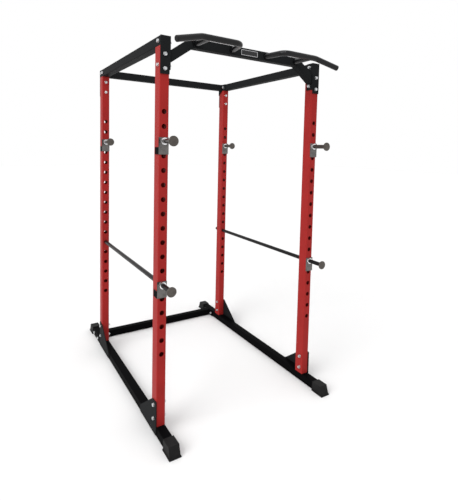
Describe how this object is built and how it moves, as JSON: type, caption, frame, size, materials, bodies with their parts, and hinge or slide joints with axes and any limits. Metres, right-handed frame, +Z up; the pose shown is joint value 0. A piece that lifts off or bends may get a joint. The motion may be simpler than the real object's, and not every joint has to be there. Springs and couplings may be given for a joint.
{
  "type": "power cage",
  "caption": "Free-standing strength-training cage of square tube with drilled rectangular uprights, pull-up bar with angled grips, peg bar catches and through-rod safety bars.",
  "frame": {"origin": "on the floor at the middle of the footprint, the centre of the bounding box seen from above", "axes": "+Z up, -Y towards the front where the pull-up bar and grips are, +X to the right for someone who stands in front of the cage and faces it"},
  "size_m": [1.0968, 1.717, 2.118],
  "materials": {
    "red_powder_coat": "satin powder coat",
    "black_powder_coat": "satin powder coat, fine texture",
    "black_grip": "satin black powder coat",
    "foot_rubber": "matte moulded rubber",
    "plug_plastic": "matte moulded plastic",
    "badge_plate": "blank dark plate",
    "zinc_steel": "bright zinc plate",
    "plated_steel": "satin chrome plate",
    "rod_steel": "bright drawn steel",
    "black_rod": "satin black"
  },
  "bodies": {
    "frame": {"bar_bracket_left": "black_powder_coat", "bar_bracket_right": "black_powder_coat", "base_crossmember": "black_powder_coat", "base_rail_left": "black_powder_coat", "base_rail_right": "black_powder_coat", "blank_badge": "badge_plate", "bracket_bolts": "zinc_steel", "bracket_nuts": "zinc_steel", "crossmember_bolts": "zinc_steel", "crossmember_nuts": "zinc_steel", "crossmember_plates": "black_powder_coat", "foot_cap_front_left": "foot_rubber", "foot_cap_front_right": "foot_rubber", "foot_cap_rear_left": "foot_rubber", "foot_cap_rear_right": "foot_rubber", "grip_handle_left": "black_grip", "grip_handle_right": "black_grip", "gusset_bolts": "zinc_steel", "gusset_front_left": "black_powder_coat", "gusset_front_right": "black_powder_coat", "gusset_nuts": "zinc_steel", "gusset_rear_left": "black_powder_coat", "gusset_rear_right": "black_powder_coat", "handle_plugs": "plug_plastic", "handle_stubs": "black_grip", "pull_up_bar": "black_powder_coat", "pull_up_leg_left": "black_powder_coat", "pull_up_leg_right": "black_powder_coat", "rail_bolts": "zinc_steel", "rail_nuts": "zinc_steel", "rear_bracket_left": "black_powder_coat", "rear_bracket_right": "black_powder_coat", "top_crossmember": "black_powder_coat", "top_rail_left": "black_powder_coat", "top_rail_right": "black_powder_coat", "upright_front_left": "red_powder_coat", "upright_front_right": "red_powder_coat", "upright_rear_left": "red_powder_coat", "upright_rear_right": "red_powder_coat", "washers": "zinc_steel"},
    "catch_front_left": {"catch_front_left_peg": "rod_steel", "catch_front_left_saddle": "plated_steel", "catch_front_left_disc": "plated_steel"},
    "catch_front_right": {"catch_front_right_peg": "rod_steel", "catch_front_right_saddle": "plated_steel", "catch_front_right_disc": "plated_steel"},
    "catch_rear_left": {"catch_rear_left_peg": "rod_steel", "catch_rear_left_saddle": "plated_steel", "catch_rear_left_disc": "plated_steel"},
    "catch_rear_right": {"catch_rear_right_peg": "rod_steel", "catch_rear_right_saddle": "plated_steel", "catch_rear_right_disc": "plated_steel"},
    "safety_left": {"safety_left_rod": "black_rod", "safety_left_saddle": "plated_steel", "safety_left_disc": "plated_steel"},
    "safety_right": {"safety_right_rod": "black_rod", "safety_right_saddle": "plated_steel", "safety_right_disc": "plated_steel"}
  },
  "joints": [
    {"name": "catch_front_left_slide", "type": "slide", "parent": "frame", "child": "catch_front_left", "axis": [0, -1, 0], "range_m": [0, 0.08]},
    {"name": "catch_front_right_slide", "type": "slide", "parent": "frame", "child": "catch_front_right", "axis": [0, -1, 0], "range_m": [0, 0.08]},
    {"name": "catch_rear_left_slide", "type": "slide", "parent": "frame", "child": "catch_rear_left", "axis": [0, -1, 0], "range_m": [0, 0.08]},
    {"name": "catch_rear_right_slide", "type": "slide", "parent": "frame", "child": "catch_rear_right", "axis": [0, -1, 0], "range_m": [0, 0.08]},
    {"name": "safety_left_slide", "type": "slide", "parent": "frame", "child": "safety_left", "axis": [0, -1, 0], "range_m": [0, 1.3]},
    {"name": "safety_right_slide", "type": "slide", "parent": "frame", "child": "safety_right", "axis": [0, -1, 0], "range_m": [0, 1.3]}
  ]
}
